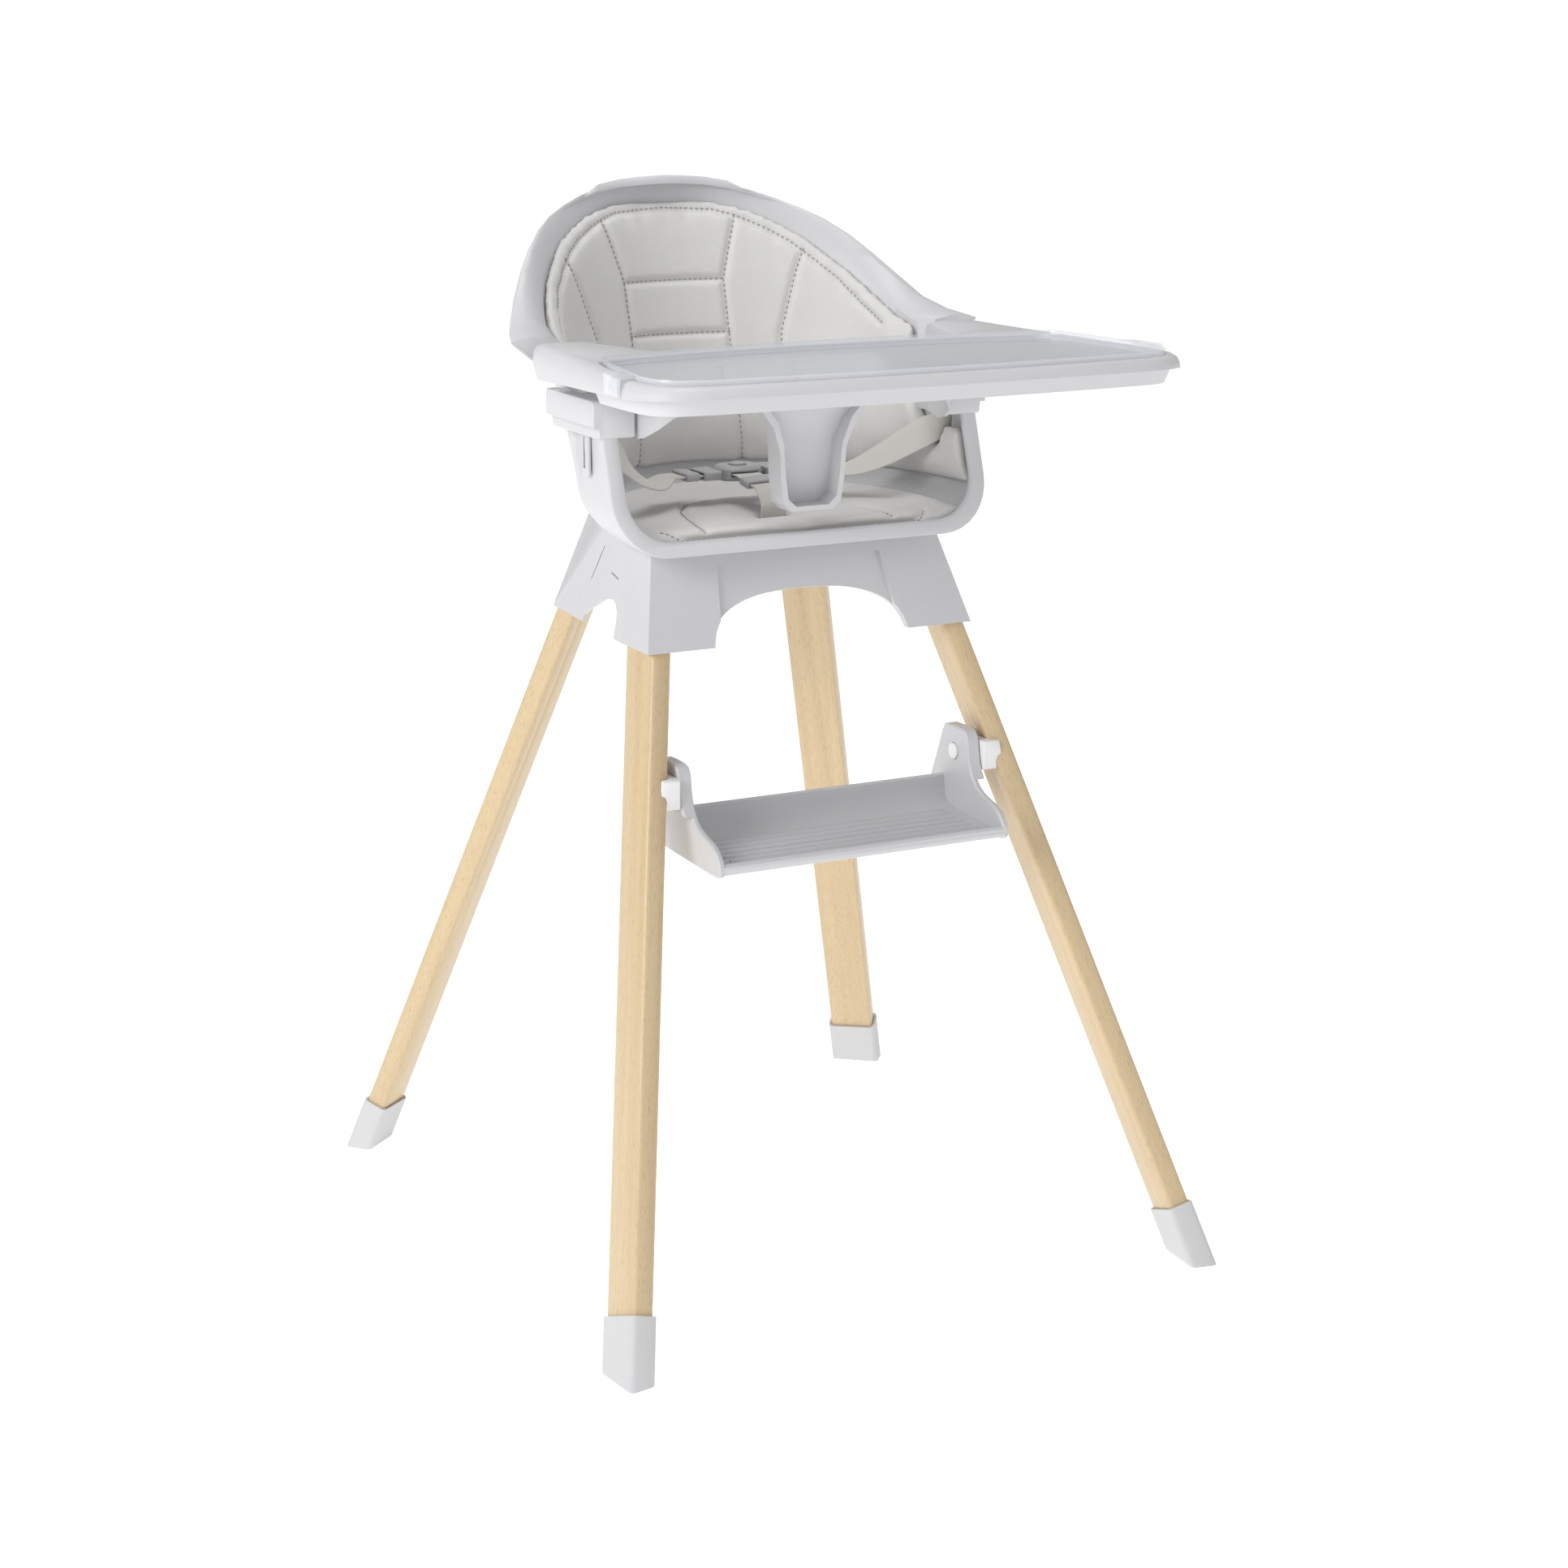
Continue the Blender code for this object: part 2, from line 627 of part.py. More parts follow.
def make_cushions():
    columns = both_sides([cushion_column(angle) for angle in cushion_angles()])
    seat_rows = 4 + CORNER_STEPS - 3
    seat = [column[:seat_rows] for column in columns]
    flat = [-0.0120] * (seat_rows - 1) + [-0.0085]
    made = walled("seat_cushion", seat, flat, leatherette(), 0.0006)
    cut_from(made, box("slot", (-0.016, -0.0225, 0.60), (0.016, -0.0125, 0.70), plastic()))
    back = [column[seat_rows + 1:] for column in columns]
    made = walled("back_cushion", back, cushion_walls(len(back[0])), leatherette(), 0.0006)
    for side in (-1, 1):
        cut_from(made, box("slot", (side * 0.165 - 0.03, STRAP_Y - 0.0045, STRAP_Z - 0.0170),
                           (side * 0.165 + 0.03, STRAP_Y + 0.0055, STRAP_Z + 0.0145), plastic()))


# Tray ---------------------------------------------------------------------------------
# One side of the tray's outline, rear of the arm to the middle of the front edge.
TRAY_SIDE = ((0.2140, 0.0110), (0.2175, -0.0150), (0.2215, -0.0500), (0.2290, -0.1050), (0.2375, -0.1600),
             (0.2440, -0.2050), (0.2480, -0.2400), (0.2475, -0.2620), (0.2390, -0.2810), (0.2230, -0.2930),
             (0.2000, -0.2985), (0.1400, -0.3020), (0.0700, -0.3045), (0.0000, -0.3050))
BELLY_SIDE = ((0.1664, 0.0110), (0.1640, -0.0060), (0.1570, -0.0280), (0.1510, -0.0480), (0.1480, -0.0620),
              (0.1420, -0.0760), (0.1310, -0.0850), (0.1150, -0.0885), (0.0600, -0.0885), (0.0000, -0.0880))


def tray_loop():
    """The tray's plan as one closed loop, clockwise from the rear of the right arm."""
    outer = list(TRAY_SIDE)
    other = [(-x, y) for x, y in reversed(TRAY_SIDE[:-1])]
    inner = [(-x, y) for x, y in BELLY_SIDE]
    back = list(reversed(BELLY_SIDE[:-1]))
    return outer + other + inner + back


def inset_loop(loop, distances):
    """Each corner of a clockwise loop moved inwards by its own distance."""
    moved = []
    for k, (point, distance) in enumerate(zip(loop, distances)):
        before, after = Vector(loop[k - 1]), Vector(loop[(k + 1) % len(loop)])
        ahead = (after - Vector(point)).normalized() + (Vector(point) - before).normalized()
        ahead.normalize()
        inward = Vector((ahead.y, -ahead.x))
        half = abs((after - Vector(point)).normalized().dot(ahead))
        spot = Vector(point) + inward * distance / max(half, 0.6)
        moved.append((spot.x, spot.y))
    return moved


def tray_rings(levels):
    """Level rings from rows of (inset outside, inset at the belly, height)."""
    loop = tray_loop()
    outer_count = 2 * len(TRAY_SIDE) - 1
    rings = []
    for out, belly, z in levels:
        distances = [out] * outer_count + [belly] * (len(loop) - outer_count)
        rings.append([(x, y, z) for x, y in inset_loop(loop, distances)])
    return rings


def below_slope(rear_z, front_z):
    """All that lies under a plane rising from the arms' rear ends to the front edge."""
    return hull("below", [(x, y, z) for x in (-0.4, 0.4) for y, z in (
        (0.05, 0.60), (-0.40, 0.60), (0.05, rear_z - 0.0034), (-0.40, front_z + 0.0076))], plastic())


def recess_outline(inset):
    """Plan of the tray's shallow top, where the liner lies, clockwise from the right rear."""
    side = [(0.1960, -0.1180), (0.2130, -0.1220), (0.2190, -0.1300), (0.2275, -0.1700), (0.2345, -0.2150),
            (0.2385, -0.2450), (0.2350, -0.2660), (0.2230, -0.2810), (0.2000, -0.2885), (0.1400, -0.2920),
            (0.0700, -0.2945), (0.0, -0.2950)]
    back = [(0.0, -0.0990), (0.0700, -0.1010), (0.1300, -0.1060)]
    loop = side + [(-x, y) for x, y in reversed(side[:-1])] + [(-x, y) for x, y in reversed(back[1:])] + back
    return inset_loop(loop, [inset] * len(loop))


# Lower edge of the apron below each of the belly edge's points, from beside the armrest.
SKIRT_LOW = ((0.1462, -0.0290, 0.7260), (0.1460, -0.0480, 0.7215), (0.1445, -0.0620, 0.7250),
             (0.1395, -0.0770, 0.7330), (0.1310, -0.0868, 0.7430), (0.1150, -0.0900, 0.7510),
             (0.0600, -0.0900, 0.7640), (0.0000, -0.0895, 0.7680))
SKIRT_WALL, SKIRT_TOP, SKIRT_BEND = 0.0024, 0.7912, 0.7640


def skirt_rings():
    """The apron that hangs from the tray's edge round the child, deepest beside the armrests."""
    loop = tray_loop()
    near = inset_loop(loop, [0.0010] * len(loop))
    far = inset_loop(loop, [0.0010 + SKIRT_WALL] * len(loop))
    half = []
    for k, low in enumerate(SKIRT_LOW):
        a, b = Vector(near[-(k + 3)]), Vector(far[-(k + 3)])
        across = (b - a).normalized() * SKIRT_WALL
        spot, foot = Vector(low[:2]), low[2]
        bend = spot.lerp(a, 0.12)
        bend_z = max(SKIRT_BEND, foot + 0.006)
        ring = [(*a, SKIRT_TOP), (*bend, bend_z), (*spot, foot), (*(spot + across), foot),
                (*(bend + across), bend_z), (*b, SKIRT_TOP)]
        half.append(ring)
    return [[(-x, y, z) for x, y, z in ring] for ring in half] + list(reversed(half))[1:]


def make_tray_base():
    base = loft("tray_base", tray_rings((
        (0.0050, 0.0020, 0.7600), (0.0016, 0.0006, 0.7760), (0.0, 0.0, 0.7840), (0.0008, 0.0, 0.7920),
        (0.0030, 0.0016, 0.7970), (0.0070, 0.0050, TRAY_CREST))), plastic())
    cut_from(base, below_slope(0.7690, 0.7890))
    cut_from(base, loft("hollow", tray_rings((
        (0.0090, 0.0058, 0.7500), (0.0048, 0.0040, 0.7840), (0.0052, 0.0044, 0.7900))), plastic()))
    recess = loft("recess", [[(x, y, z) for x, y in recess_outline(0.0)] for z in (0.7938, 0.82)], plastic())
    cut_from(base, recess)
    keel = loft("keel", tray_rings(((0.0210, 0.0120, 0.7550), (0.0065, 0.0080, 0.7920))), plastic())
    cut_from(keel, loft("inside", tray_rings(((0.0240, 0.0150, 0.7540), (0.0095, 0.0110, 0.7930))), plastic()))
    cut_from(keel, below_slope(0.7580, 0.7760), box("rear", (-0.4, -0.125, 0.70), (0.4, 0.1, 0.85), plastic()))
    skirt = loft("skirt", skirt_rings(), plastic())
    return join_to(base, keel, skirt)


def make_tray_insert():
    clear = material("clear_plastic", (0.74, 0.80, 0.86), 0.15)
    deep = [[(x, y, z) for x, y in recess_outline(i)] for i, z in (
        (0.0016, 0.7942), (0.0008, 0.7960), (0.0008, 0.8020), (0.0014, 0.8034))]
    insert = loft("tray_insert", deep, clear)
    inner = [[(x, y, z) for x, y in recess_outline(i)] for i, z in (
        (0.0068, 0.7962), (0.0052, 0.7975), (0.0032, 0.8000), (0.0026, 0.8100))]
    cut_from(insert, loft("well", inner, clear))
    for side in (-1, 1):
        tab = hull("tab", [(side * x, y, z) for x, y, z in (
            (0.2294, -0.2000, 0.8006), (0.2350, -0.2360, 0.8006), (0.2470, -0.2000, 0.8000),
            (0.2520, -0.2360, 0.8000), (0.2294, -0.2000, 0.8026), (0.2350, -0.2360, 0.8026),
            (0.2464, -0.2000, 0.8022), (0.2514, -0.2360, 0.8022))], clear)
        drop = hull("drop", [(side * x, y, z) for x, y, z in (
            (0.2447, -0.2000, 0.8012), (0.2488, -0.2360, 0.8012), (0.2472, -0.2000, 0.8012),
            (0.2517, -0.2360, 0.8012), (0.2450, -0.2020, 0.7860), (0.2489, -0.2340, 0.7860),
            (0.2470, -0.2020, 0.7860), (0.2509, -0.2340, 0.7860))], clear)
        join_to(insert, tab, drop)
    return insert


def make_crotch_post():
    outline = ((0.0200, 0.6570), (0.0275, 0.6640), (0.0305, 0.6850), (0.0320, 0.7100), (0.0390, 0.7300),
               (0.0520, 0.7460), (0.0560, 0.7560), (0.0560, 0.7640))
    def shape(inset, front, rear, rows_used, lift):
        rows = []
        for half, z in outline[:rows_used]:
            slope = 0.018 * ease((z - 0.70) / 0.06)
            rows.append((half - inset, z + lift, front - 0.25 * slope, rear - slope))
        points = []
        for sign in (1, -1):
            order = rows if sign > 0 else reversed(rows)
            points += [(sign * half, z, y0, y1) for half, z, y0, y1 in order]
        return [[(x, y0, z) for x, z, y0, y1 in points], [(x, y1, z) for x, z, y0, y1 in points]]
    post = loft("crotch_post", shape(0.0, -0.0885, -0.0655, 8, 0.0), plastic())
    trough = loft("trough", shape(0.0042, -0.1200, -0.0690, 6, 0.0042), plastic())
    cut_from(post, trough)
    neck = box("neck", (-0.0480, -0.1160, 0.7540), (0.0480, -0.0942, 0.7896), plastic(), 0.003)
    root = box("root", (-0.0470, -0.1100, 0.7545), (0.0470, -0.0800, 0.7635), plastic())
    return join_to(post, neck, root)


def make_tray_latch(side, name):
    low, high = sorted((side * 0.1530, side * 0.1780))
    body = box(name, (low, -0.0780, 0.7535), (high, -0.0600, 0.7620), plastic(), 0.002)
    stem = box("stem", (low + 0.006, -0.0740, 0.7600), (high - 0.006, -0.0680, 0.7705), plastic())
    return join_to(body, stem)


# Footrest -----------------------------------------------------------------------------
# Side view of the footrest's end wall, y and z, from its rear foot over the pin to the front edge.
CHEEK = ((-0.0690, 0.3800), (-0.0650, 0.3900), (-0.0650, 0.4020), (-0.0710, 0.4180), (-0.0790, 0.4360),
         (-0.0835, 0.4480), (-0.0870, 0.4545), (-0.0920, 0.4575), (-0.1180, 0.4575), (-0.1245, 0.4545),
         (-0.1280, 0.4480), (-0.1300, 0.4360), (-0.1350, 0.4220), (-0.1450, 0.4110), (-0.1580, 0.4055),
         (-0.1720, 0.4020), (-0.1820, 0.3970), (-0.1895, 0.3890), (-0.1910, 0.3810), (-0.1870, 0.3745),
         (-0.1500, 0.3750), (-0.0850, 0.3770), (-0.0750, 0.3778))
# Section of the tread and its upturned back, which runs the whole width.
TREAD = ((-0.0850, 0.4095), (-0.0875, 0.4112), (-0.0900, 0.4095), (-0.0908, 0.4000), (-0.0935, 0.3915),
         (-0.0990, 0.3865), (-0.1080, 0.3846), (-0.1400, 0.3832), (-0.1700, 0.3822), (-0.1800, 0.3830),
         (-0.1860, 0.3862), (-0.1890, 0.3868), (-0.1908, 0.3845), (-0.1910, 0.3810), (-0.1890, 0.3770),
         (-0.1840, 0.3752), (-0.1700, 0.3765), (-0.1400, 0.3780), (-0.1060, 0.3792), (-0.0950, 0.3806),
         (-0.0885, 0.3850), (-0.0855, 0.3940))


def cheek_slab(side, profile, start, end):
    """An end wall between two x positions with softened edges."""
    clockwise = list(reversed(profile))
    rings = []
    for x, inset in ((start, 0.0014), (start + 0.0014, 0.0), (end - 0.0014, 0.0), (end, 0.0014)):
        rings.append([(side * x, y, z) for y, z in inset_loop(clockwise, [inset] * len(clockwise))])
    return loft("cheek", rings, plastic())


def make_footrest_plate():
    tread = loft("footrest_plate", [[(x, y, z) for y, z in TREAD] for x in (-0.1365, 0.1365)], plastic())
    profile = smooth_curve(CHEEK, 2)
    upright = [(y, z) for y, z in profile if z > 0.4120 and y > -0.1420]
    for side in (-1, 1):
        join_to(tread, cheek_slab(side, profile, CHEEK_IN, CHEEK_THIN),
                cheek_slab(side, upright, CHEEK_IN + 0.0004, CHEEK_OUT))
    for k in range(6):
        y = -0.1130 - 0.0115 * k
        z = 0.3844 - 0.0003 * k
        join_to(tread, hull("rib", [(x, y + dy, z + dz) for x in (-0.120, 0.120) for dy, dz in (
            (-0.0026, -0.003), (0.0026, -0.003), (-0.0012, 0.0010), (0.0012, 0.0010))], plastic()))
    for side in (-1, 1):
        seat = axis_frame((side * 0.13, *FOOTREST_PIN), (side, 0, 0), (0, 1, 0))
        wide = bar("bore", seat, circle(BUTTON_RADIUS + 0.0004, 24), -0.01, 0.0117, plastic())
        narrow = bar("bore", seat, circle(0.0057, 24), 0.0, 0.03, plastic())
        cut_from(tread, wide, narrow)
    return tread


def make_footrest_bracket(side, name, leg_frame):
    white = material("plastic_white", (0.8, 0.8, 0.8), 0.4)
    y, z = FOOTREST_PIN
    def inner_x(height):
        return FRONT_FOOT[0] + FRONT_SLOPE[0] * height - 0.0095 * sqrt(1 + FRONT_SLOPE[0] ** 2) + 0.0060
    low, high = z - 0.0130, z + 0.0130
    plate = hull(name, [(side * x, py, pz) for py in (y - 0.0290, y + 0.0135) for x, pz in (
        (0.1476, low), (inner_x(low), low), (0.1476, high), (inner_x(high), high))], white)
    round_edges(plate, 0.0018, 2)
    cut_from(plate, bar("leg", leg_frame, leg_outline(GAP), 0.3, 0.6, white))
    seat = axis_frame((side * 0.13, y, z), (side, 0, 0), (0, 1, 0))
    pin = bar("pin", seat, circle(0.0054, 24), 0.0120, 0.0200, white)
    return join_to(plate, pin)


def make_footrest_button(side, name):
    white = material("plastic_white", (0.8, 0.8, 0.8), 0.4)
    seat = axis_frame((side * 0.13, *FOOTREST_PIN), (side, 0, 0), (0, 1, 0))
    button = bar(name, seat, circle(BUTTON_RADIUS, 24), 0.0030, 0.0088, white)
    cut_from(button, bar("cup", seat, circle(0.0046, 16), 0.0050, 0.02, white))
    return button


def coil(name, place, radius, wire, turns, length, finish):
    rings = []
    steps = 9
    for k in range(turns * steps + 1):
        turn = 2 * pi * k / steps
        centre = Vector((radius * cos(turn), radius * sin(turn), wire + (length - 2 * wire) * k / (turns * steps)))
        out = Vector((cos(turn), sin(turn), 0))
        rings.append([place @ (centre + out * (wire * cos(a)) + Vector((0, 0, wire * sin(a))))
                      for a in (0, pi / 2, pi, 3 * pi / 2)])
    return loft(name, rings, finish)


def make_footrest_spring(side, name):
    place = axis_frame((side * 0.1369, *FOOTREST_PIN), (side, 0, 0), (0, 1, 0))
    return coil(name, place, 0.0033, 0.0004, 3, 0.0047, steel())


# Harness ------------------------------------------------------------------------------
def webbing():
    return material("webbing_off_white", (0.66, 0.64, 0.60), 0.85)


def strap(name, points, sides, width=WEB_WIDTH):
    """A flat strap through points, its width along sides."""
    path = smooth_curve([(*p, *s) for p, s in zip(points, sides)], 4)
    rings = []
    for k, row in enumerate(path):
        spot, side = Vector(row[:3]), Vector(row[3:])
        ahead = Vector(path[min(k + 1, len(path) - 1)][:3]) - Vector(path[max(k - 1, 0)][:3])
        ahead.normalize()
        side = (side - ahead * side.dot(ahead)).normalized()
        up = side.cross(ahead)
        a, b = side * width / 2, up * WEB_THICK / 2
        rings.append([spot - a - b, spot + a - b, spot + a + b, spot - a + b])
    return in_triangles(loft(name, rings, webbing()))


def ellipse(half_x, half_y, power=2.4, steps=24):
    outline = []
    for k in range(steps):
        turn = 2 * pi * k / steps
        c, s = cos(turn), sin(turn)
        outline.append((half_x * abs(c) ** (2 / power) * (1 if c > 0 else -1),
                        half_y * abs(s) ** (2 / power) * (1 if s > 0 else -1)))
    return outline


def make_buckle():
    grey = hardware_grey()
    bx, by, bz = BUCKLE
    place = Matrix.Translation((bx, by, bz))
    rings = [[place @ Vector((x, y, z)) for x, y in ellipse(a, b)] for a, b, z in (
        (0.0190, 0.0145, 0.0), (0.0215, 0.0170, 0.0022), (0.0215, 0.0170, 0.0100), (0.0190, 0.0145, 0.0128))]
    body = loft("buckle_body", rings, grey)
    for side in (-1, 1):
        mouth_low = (bx + min(side * 0.0095, side * 0.03), by - 0.0080, bz + 0.0038)
        mouth_high = (bx + max(side * 0.0095, side * 0.03), by + 0.0080, bz + 0.0084)
        cut_from(body, box("mouth", mouth_low, mouth_high, grey))
    cut_from(body, box("strap_mouth", (bx - 0.0132, by - 0.03, bz + 0.0040), (bx + 0.0132, by - 0.0100, bz + 0.0082),
                       grey))
    pocket = bar("pocket", place, ellipse(0.0079, 0.0079, 2.2), 0.0018, 0.03, grey)
    cut_from(body, pocket)
    rings = [[place @ Vector((x, y, z)) for x, y in ellipse(a, a, 2.2)] for a, z in (
        (0.0074, 0.0072), (0.0074, 0.0138), (0.0066, 0.0148), (0.0040, 0.0153))]
    loft("buckle_button", rings, grey)
    coil("buckle_spring", Matrix.Translation((bx, by, bz + 0.0021)), 0.0040, 0.0004, 3, 0.0048, steel())


def make_tongue(side, name):
    grey = hardware_grey()
    bx, by, bz = BUCKLE
    def span(a, b):
        return min(bx + side * a, bx + side * b), max(bx + side * a, bx + side * b)
    low, high = span(0.0100, 0.0260)
    prong = box(name, (low, by - 0.0070, bz + 0.0044), (high, by + 0.0070, bz + 0.0078), grey, 0.0008)
    low, high = span(0.0225, 0.0400)
    plate = box("plate", (low, by - 0.0165, bz + 0.0024), (high, by + 0.0165, bz + 0.0104), grey, 0.0022)
    join_to(prong, plate)
    low, high = span(0.0300, 0.05)
    slot = box("slot", (low, by - 0.0132, bz + 0.0040), (high, by + 0.0132, bz + 0.0090), grey)
    return cut_from(prong, slot)


def make_glide(name, centre, ahead, side):
    """A loop that the strap runs through, free to slide along it."""
    place = axis_frame(centre, ahead, side)
    loop = bar(name, place, rounded_rectangle(0.0160, 0.0036, 0.0026, 2), -0.0065, 0.0065, hardware_grey())
    round_edges(loop, 0.0008, 1, 50)
    return cut_from(loop, bar("window", place, rounded_rectangle(0.0131, 0.0015, 0.0004, 1), -0.02, 0.02, plastic()))


def strap_path(side):
    """Points down the middle of a waist strap, shell to buckle, and its width direction at each."""
    bx, by, bz = BUCKLE
    end = Vector((bx + side * 0.0306, by, bz + 0.0064))
    level = [end + Vector((side * run, 0, 0)) for run in (0.0400, 0.0300, 0.0050, 0.0)]
    points = [(side * 0.1810, STRAP_Y, STRAP_Z), (side * 0.1600, STRAP_Y, STRAP_Z),
              (side * 0.1420, -0.0110, 0.6990), (side * 0.1200, 0.0080, 0.6815), (side * 0.0950, 0.0260, 0.6690)]
    sides = [(0, 0, 1), (0, 0, 1), (0, 0.35, 0.94), (0.25 * side, 0.62, 0.70), (0.30 * side, 0.85, 0.25)]
    return points + level, sides + [(0, 1, 0)] * len(level)


def make_waist_strap(side, hand):
    points, sides = strap_path(side)
    strap("waist_strap_" + hand, points, sides)
    make_tongue(side, "buckle_tongue_" + hand)
    make_glide("waist_adjuster_" + hand, points[-1] + Vector((side * 0.0200, 0, 0)), (side, 0, 0), (0, 1, 0))
    low, high = sorted((side * 0.1792, side * 0.1820))
    anchor = box("strap_anchor_" + hand, (low, STRAP_Y - 0.0080, 0.6900), (high, STRAP_Y + 0.0080, 0.7238),
                 plastic(), 0.0009)
    return cut_from(anchor, box("slot", (low - 0.01, STRAP_Y - 0.0020, STRAP_Z - 0.0133),
                                (high + 0.01, STRAP_Y + 0.0020, STRAP_Z + 0.0133), plastic()))


def make_harness():
    bx, by, bz = BUCKLE
    for side, hand in ((-1, "left"), (1, "right")):
        make_waist_strap(side, hand)
    start, end = Vector((-0.0010, -0.0080, 0.6645)), Vector((bx, by - 0.0220, bz + 0.0062))
    crotch = [Vector((0.0, -0.0172, z)) for z in (0.6272, 0.6400, 0.6530)]
    crotch += [start.lerp(end, part) for part in (0.0, 0.22, 0.78, 1.0)]
    crotch.append(Vector((bx, by - 0.0106, bz + 0.0061)))
    strap("crotch_strap", crotch, [(1, 0, 0)] * len(crotch))
    make_glide("crotch_adjuster", start.lerp(end, 0.5), end - start, (1, 0, 0))


# Fasteners ----------------------------------------------------------------------------
def screw(name, place, reach, head=0.0042, shank=0.0021):
    body = bar(name, place, circle(shank, 10), 0.0, reach, steel())
    cap = bar("head", place, circle(head, 12), -0.0022, 0.0004, steel())
    return join_to(body, cap)


def make_screws(frames):
    for key, frame in frames.items():
        screw("leg_screw_" + key, leg_screw_frame(frame), 0.0170)
    for k, (x, y) in enumerate(SEAT_SCREWS):
        screw(f"seat_screw_{k + 1}", Matrix.Translation((x, y, 0.6130)), 0.0138, 0.0095)


def make_release_lever():
    """The tab under the hub that lets the seat go from its base."""
    lever = hull("release_lever", [(x, y, z) for x in (0.0600, 0.0840) for y, z in (
        (0.0880, 0.5640), (0.0910, 0.5620), (0.0915, 0.6100), (0.0875, 0.6100))], plastic())
    return round_edges(lever, 0.0008, 1)


def main():
    clear_scene()
    frames = leg_frames()
    for key, frame in frames.items():
        make_leg(key, frame)
        make_foot_cap(key, frame)
    make_seat_shell()
    make_leg_hub(frames)
    make_cushions()
    make_tray_base()
    make_tray_insert()
    make_crotch_post()
    make_footrest_plate()
    for side, hand in ((-1, "left"), (1, "right")):
        make_tray_latch(side, "tray_latch_" + hand)
        make_footrest_bracket(side, "footrest_bracket_" + hand, frames["front_" + hand])
        make_footrest_button(side, "footrest_button_" + hand)
        make_footrest_spring(side, "footrest_spring_" + hand)
    make_buckle()
    make_harness()
    make_screws(frames)
    make_release_lever()


main()
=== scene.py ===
"""Baby high chair: the looks of each piece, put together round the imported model."""
import json
from math import cos, radians, sin

import bmesh
import bpy
import numpy as np
from mathutils import Matrix, Vector
from mathutils.bvhtree import BVHTree

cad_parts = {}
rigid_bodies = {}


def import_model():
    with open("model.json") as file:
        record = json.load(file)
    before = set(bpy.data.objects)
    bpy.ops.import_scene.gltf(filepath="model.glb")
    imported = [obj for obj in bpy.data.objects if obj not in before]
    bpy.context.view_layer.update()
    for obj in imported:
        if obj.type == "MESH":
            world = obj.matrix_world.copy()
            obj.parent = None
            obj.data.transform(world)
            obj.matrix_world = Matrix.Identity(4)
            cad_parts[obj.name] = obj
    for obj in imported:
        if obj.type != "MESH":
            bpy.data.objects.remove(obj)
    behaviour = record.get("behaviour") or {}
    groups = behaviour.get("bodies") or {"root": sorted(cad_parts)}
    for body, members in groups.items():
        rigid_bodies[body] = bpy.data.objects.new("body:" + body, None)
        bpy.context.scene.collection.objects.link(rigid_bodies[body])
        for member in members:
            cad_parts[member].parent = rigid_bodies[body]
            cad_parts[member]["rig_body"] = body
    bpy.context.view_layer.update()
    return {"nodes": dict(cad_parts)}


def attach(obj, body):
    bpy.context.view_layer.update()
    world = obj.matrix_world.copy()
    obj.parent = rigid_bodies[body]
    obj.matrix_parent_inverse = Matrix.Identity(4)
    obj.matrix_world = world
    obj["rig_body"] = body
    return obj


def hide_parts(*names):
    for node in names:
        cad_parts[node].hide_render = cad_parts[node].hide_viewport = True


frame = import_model()

# Room and camera ------------------------------------------------------------------------
# A white studio sweep under broad soft lamps, seen from ahead of the chair's left side.
# The camera stands at an adult's chest height with a short telephoto lens.
EYE = Vector((-1.3032, -2.4846, 1.1345))
HEADING, TILT, LEAN, LENS = 0.48981, -0.25750, 0.00724, 74.48

ahead = Vector((sin(HEADING) * cos(TILT), cos(HEADING) * cos(TILT), sin(TILT)))
level = Vector((cos(HEADING), -sin(HEADING), 0))
upright = level.cross(ahead)
across = level * cos(LEAN) + upright * sin(LEAN)
upward = upright * cos(LEAN) - level * sin(LEAN)
lens = bpy.data.cameras.new("studio_camera")
lens.lens, lens.sensor_width, lens.clip_end = LENS, 36.0, 300.0
camera = bpy.data.objects.new("studio_camera", lens)
camera.matrix_world = Matrix.Translation(EYE) @ Matrix((across, upward, -ahead)).transposed().to_4x4()
bpy.context.scene.collection.objects.link(camera)
bpy.context.scene.camera = camera
bpy.context.scene.view_settings.view_transform = "Standard"


def hang_lamp(name, place, aim, size, power):
    lamp = bpy.data.lights.new(name, "AREA")
    lamp.shape, lamp.size, lamp.energy = "DISK", size, power
    made = bpy.data.objects.new(name, lamp)
    made.location = place
    made.rotation_euler = (Vector(aim) - Vector(place)).to_track_quat("-Z", "Y").to_euler()
    bpy.context.scene.collection.objects.link(made)


hang_lamp("key_lamp", (-2.6, -0.7, 1.9), (0, 0, 0.6), 1.4, 40)
hang_lamp("fill_lamp", (0.9, -2.7, 1.8), (0, 0, 0.7), 2.2, 4)
hang_lamp("top_lamp", (-0.1, -0.2, 3.2), (0, 0, 0.6), 1.6, 26)

world = bpy.data.worlds.new("studio_room")
world.use_nodes = True
world.node_tree.nodes["Background"].inputs["Color"].default_value = (1.0, 1.0, 1.0, 1.0)
world.node_tree.nodes["Background"].inputs["Strength"].default_value = 0.45
bpy.context.scene.world = world

